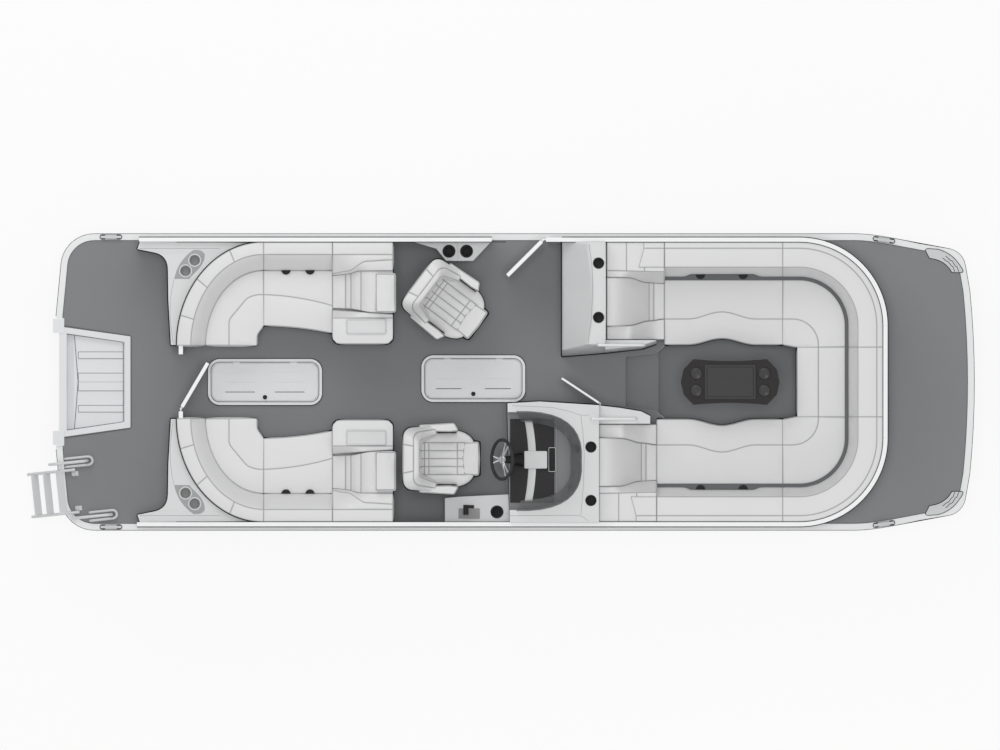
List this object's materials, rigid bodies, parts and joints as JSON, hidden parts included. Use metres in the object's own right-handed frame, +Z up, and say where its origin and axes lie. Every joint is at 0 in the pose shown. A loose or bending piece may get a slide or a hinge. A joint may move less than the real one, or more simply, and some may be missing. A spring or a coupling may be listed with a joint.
{
  "type": "pontoon boat",
  "caption": "Three-tube pontoon boat with a fenced deck, rear and bow lounges, two swivel chairs, a helm console, a table, a boarding ladder and hinged gates.",
  "frame": {"origin": "centre of the boat's box in plan, on the ground under the keel strips", "axes": "+X to the bow, +Y to port, +Z up"},
  "size_m": [8.2884, 2.59, 1.86],
  "materials": {
    "tube_metal": "mill-finished, lightly brushed along the tube",
    "white_metal": "satin paint",
    "frame_metal": "mill finish",
    "floor": "woven vinyl, mid grey",
    "rub_rail": "anodised, satin",
    "fence": "white powder coat",
    "bright_metal": "polished stainless steel",
    "moulding": "pale grey gel coat",
    "upholstery": "pale grey marine vinyl, stitched",
    "dash": "soft-touch black",
    "smoked_glass": "smoked acrylic",
    "black_plastic": "moulded, fine grain",
    "table_top": "charcoal, satin",
    "wheel_rim": "black stitched rim on bright spokes",
    "hatch": "pale grey, moulded ribs"
  },
  "bodies": {
    "boat": {"port_tube": "tube_metal", "starboard_tube": "tube_metal", "centre_tube": "tube_metal", "motor_pod": "tube_metal", "transom": "white_metal", "motor_well": "white_metal", "cross_members": "frame_metal", "risers": "frame_metal", "deck": "floor", "bow_well": "floor", "rub_rail": "rub_rail", "fence_port_stern": "fence", "fence_port_bow": "fence", "fence_starboard": "fence", "gate_posts": "fence", "corner_castings": "bright_metal", "cleats": "bright_metal", "port_lounge_base": "moulding", "port_lounge_seat": "upholstery", "port_lounge_back": "upholstery", "port_chaise": "upholstery", "port_pillow": "upholstery", "port_corner_shell": "moulding", "starboard_lounge_base": "moulding", "starboard_lounge_seat": "upholstery", "starboard_lounge_back": "upholstery", "starboard_chaise": "upholstery", "starboard_pillow": "upholstery", "starboard_corner_shell": "moulding", "bow_seat_base": "moulding", "bow_seats": "upholstery", "bow_backs": "upholstery", "port_bow_chaise": "upholstery", "starboard_bow_chaise": "upholstery", "port_console": "moulding", "helm_console": "moulding", "dash": "dash", "windscreen": "smoked_glass", "throttle_stand": "moulding", "throttle": "black_plastic", "port_stand": "moulding", "console_rails": "bright_metal", "table": "table_top", "table_post": "bright_metal", "helm_pedestal": "bright_metal", "companion_pedestal": "bright_metal", "steering_column": "black_plastic", "aft_locker": "moulding", "forward_locker": "moulding", "ladder_brackets": "bright_metal", "ladder_grab_rails": "bright_metal"},
    "stern_gate": {"stern_gate": "fence"},
    "side_gate": {"side_gate": "fence"},
    "bow_door": {"bow_door": "fence"},
    "helm_chair": {"helm_chair": "upholstery"},
    "companion_chair": {"companion_chair": "upholstery"},
    "steering_wheel": {"steering_wheel": "wheel_rim"},
    "aft_hatch": {"aft_hatch": "hatch"},
    "forward_hatch": {"forward_hatch": "hatch"},
    "boarding_ladder": {"boarding_ladder": "bright_metal"}
  },
  "joints": [
    {"name": "stern_gate_hinge", "type": "hinge", "parent": "boat", "child": "stern_gate", "pos_m": [-2.79725, -0.236, 1.15], "axis": [0, 0, 1], "range_deg": [-59, 30.4]},
    {"name": "side_gate_hinge", "type": "hinge", "parent": "boat", "child": "side_gate", "pos_m": [0.37575, 1.2455, 1.15], "axis": [0, 0, 1], "range_deg": [-45, 45]},
    {"name": "bow_door_hinge", "type": "hinge", "parent": "boat", "child": "bow_door", "pos_m": [0.87125, -0.189, 1.15], "axis": [0, 0, 1], "range_deg": [-56.5, 25]},
    {"name": "helm_chair_swivel", "type": "hinge", "parent": "boat", "child": "helm_chair", "pos_m": [-0.49925, -0.671, 1.2], "axis": [0, 0, 1], "continuous": true},
    {"name": "companion_chair_swivel", "type": "hinge", "parent": "boat", "child": "companion_chair", "pos_m": [-0.44575, 0.677, 1.2], "axis": [0, 0, 1], "continuous": true},
    {"name": "steering", "type": "hinge", "parent": "boat", "child": "steering_wheel", "pos_m": [0.01425, -0.679, 1.545], "axis": [-0.848, 0, 0.5299], "range_deg": [-765, 765]},
    {"name": "aft_hatch_hinge", "type": "hinge", "parent": "boat", "child": "aft_hatch", "pos_m": [-2.06075, 0.172, 0.831], "axis": [-1, 0, 0], "range_deg": [0, 90]},
    {"name": "forward_hatch_hinge", "type": "hinge", "parent": "boat", "child": "forward_hatch", "pos_m": [-0.23775, 0.204, 0.831], "axis": [-1, 0, 0], "range_deg": [0, 90]},
    {"name": "ladder_hinge", "type": "hinge", "parent": "boat", "child": "boarding_ladder", "pos_m": [-3.71775, -0.954, 0.834], "axis": [-0.1045, 0.9945, 0], "range_deg": [0, 160]}
  ]
}
